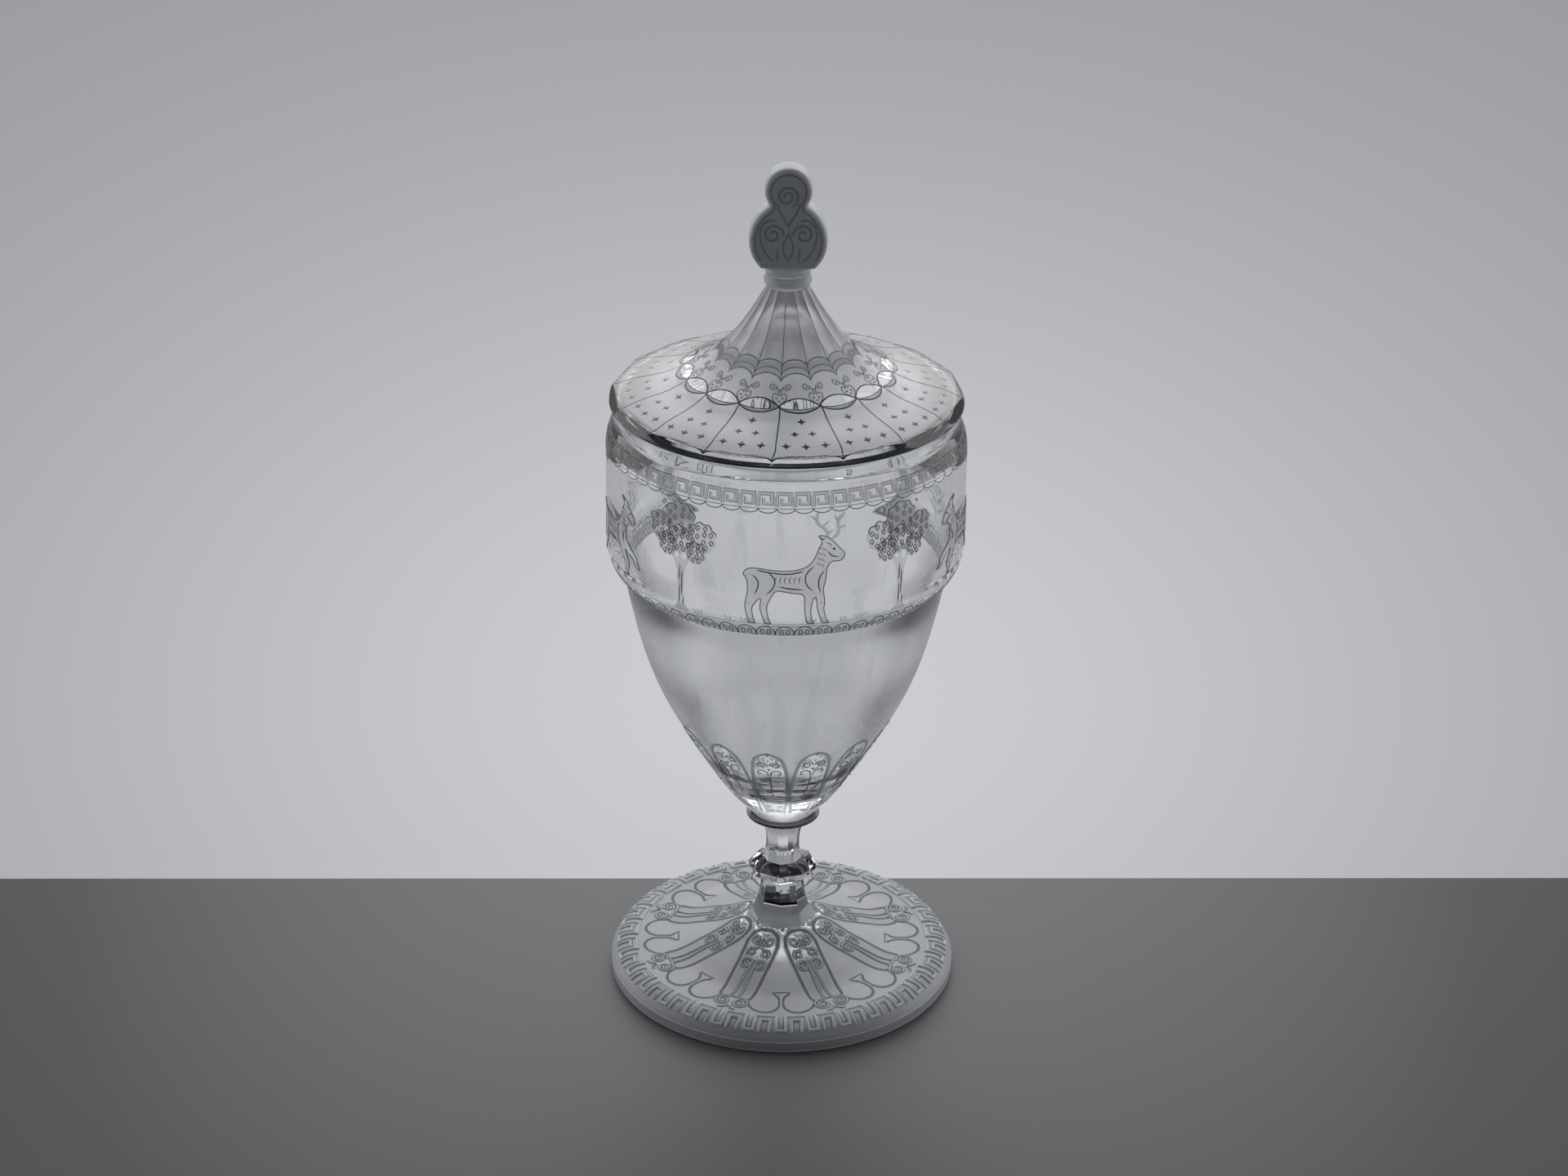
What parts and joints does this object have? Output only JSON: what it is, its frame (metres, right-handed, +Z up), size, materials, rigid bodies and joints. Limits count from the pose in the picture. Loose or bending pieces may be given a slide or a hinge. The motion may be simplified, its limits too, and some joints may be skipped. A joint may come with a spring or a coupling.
{
  "type": "covered goblet",
  "caption": "Covered goblet of thick cut glass with a faceted stem, a banded bowl and a domed lid with a fluted spire and a carved finial.",
  "frame": {"origin": "centre of the foot's standing ring, on the surface that the goblet stands on", "axes": "+Z up along the axis of foot, stem, bowl and lid; -Y towards the viewer, out of the finial's broad carved face; +X to the viewer's right"},
  "size_m": [0.1556, 0.1556, 0.38],
  "materials": {
    "satin_glass": "satin, wheel-engraved",
    "clear_glass": "polished, clear"
  },
  "bodies": {
    "goblet": {"foot": "satin_glass", "stem_base": "clear_glass", "knop": "clear_glass", "stem_shaft": "clear_glass", "merese": "clear_glass", "bowl": "clear_glass"},
    "lid": {"lid_cover": "satin_glass", "lid_flange": "clear_glass", "neck_ring_lower": "satin_glass", "neck_ring_upper": "satin_glass", "finial": "satin_glass"}
  },
  "joints": [
    {"name": "lid_lift", "type": "slide", "parent": "goblet", "child": "lid", "axis": [0, 0, 1], "range_m": [0, 0.12]}
  ]
}
